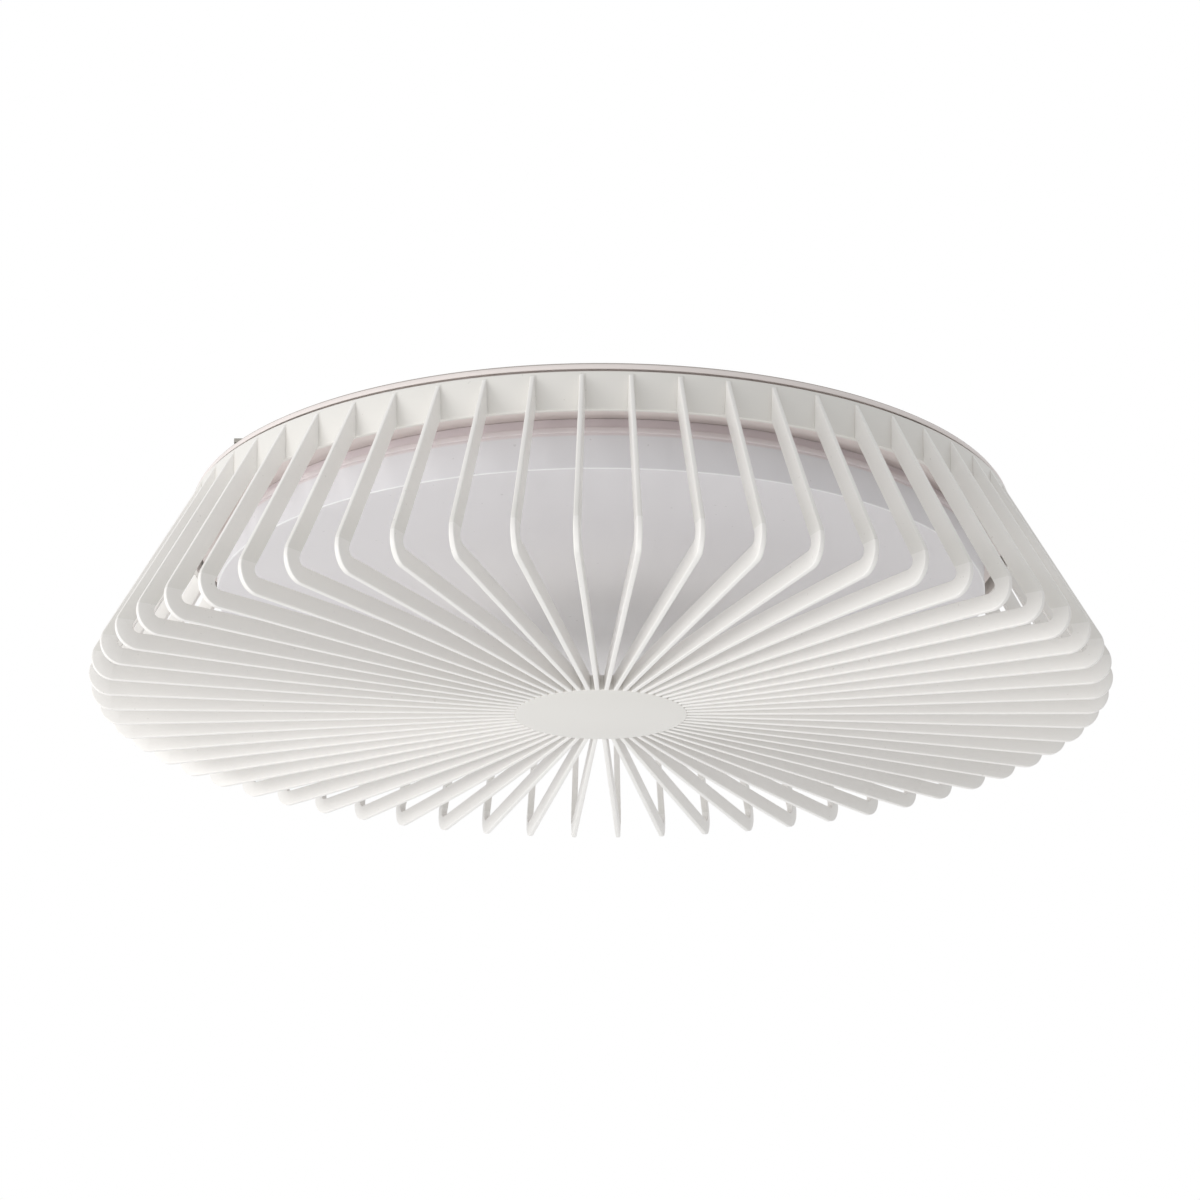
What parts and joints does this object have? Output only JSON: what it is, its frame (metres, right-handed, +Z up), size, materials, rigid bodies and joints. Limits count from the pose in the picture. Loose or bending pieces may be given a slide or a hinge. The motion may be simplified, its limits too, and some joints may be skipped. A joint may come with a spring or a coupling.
{
  "type": "led ceiling light",
  "caption": "Round ceiling light: a twist-off cage of bent radial ribs around a twist-off opal diffuser, on a steel pan that holds a driver and curved boards of light chips.",
  "frame": {"origin": "centre of the ceiling plane, at the middle of the slotted bars' upper faces", "axes": "+Z up into the ceiling, the light hangs towards -Z; X along the two ceiling bars; the pictured side faces -Y"},
  "size_m": [0.5994, 0.5994, 0.125],
  "materials": {
    "cage_white": "satin off-white moulding",
    "opal": "opal, satin outside",
    "pan_paint": "satin white powder coat",
    "zinc_steel": "zinc-plated steel",
    "aluminium_rivet": "plain aluminium",
    "grommet_rubber": "matt black rubber",
    "terminal_plastic": "matt ivory",
    "clamp_brass": "plain brass",
    "driver_plastic": "matt white",
    "circuit_green": "satin green lacquer",
    "ferrite": "matt dark ferrite",
    "winding_copper": "lacquered copper wire",
    "capacitor_can": "dark sleeve on an aluminium can",
    "choke_green": "coated ring core",
    "chip_black": "matt black",
    "board_white": "white lacquer on aluminium",
    "led_yellow": "yellow phosphor",
    "lens_clear": "clear moulding",
    "connector_white": "matt white",
    "lead_grey": "grey insulation",
    "lead_green": "green insulation",
    "lead_white": "white insulation",
    "clip_white": "natural nylon"
  },
  "bodies": {
    "base": {"mounting_bar_front": "zinc_steel", "mounting_bar_rear": "zinc_steel", "bar_studs": "zinc_steel", "stud_nuts": "zinc_steel", "base_pan": "pan_paint", "cage_lugs": "zinc_steel", "lug_rivets": "aluminium_rivet", "diffuser_hooks": "zinc_steel", "hook_rivets": "aluminium_rivet", "cable_grommet": "grommet_rubber", "terminal_block": "terminal_plastic", "terminal_inserts": "clamp_brass", "terminal_screws": "zinc_steel", "terminal_mounting_screws": "zinc_steel", "earth_lug": "zinc_steel", "earth_screw": "zinc_steel", "driver_case": "driver_plastic", "driver_cover": "driver_plastic", "driver_screws": "zinc_steel", "driver_board": "circuit_green", "driver_transformer_core": "ferrite", "driver_transformer_winding": "winding_copper", "driver_capacitors": "capacitor_can", "driver_choke": "choke_green", "driver_semiconductors": "chip_black", "led_board_1": "board_white", "led_board_2": "board_white", "led_board_3": "board_white", "led_board_4": "board_white", "led_chips": "led_yellow", "led_lenses": "lens_clear", "board_connectors": "connector_white", "board_screws": "zinc_steel", "board_links": "lead_white", "mains_leads": "lead_grey", "earth_lead": "lead_green", "output_leads": "lead_white", "wire_clips": "clip_white"},
    "diffuser": {"diffuser": "opal"},
    "cage": {"cage_ring": "cage_white", "cage_ribs": "cage_white", "cage_hub": "cage_white"}
  },
  "joints": [
    {"name": "cage_twist", "type": "hinge", "parent": "base", "child": "cage", "pos_m": [0, 0, 0], "axis": [0, 0, 1], "range_deg": [0, 10]},
    {"name": "diffuser_twist", "type": "hinge", "parent": "base", "child": "diffuser", "pos_m": [0, 0, 0], "axis": [0, 0, 1], "range_deg": [0, 12]}
  ]
}
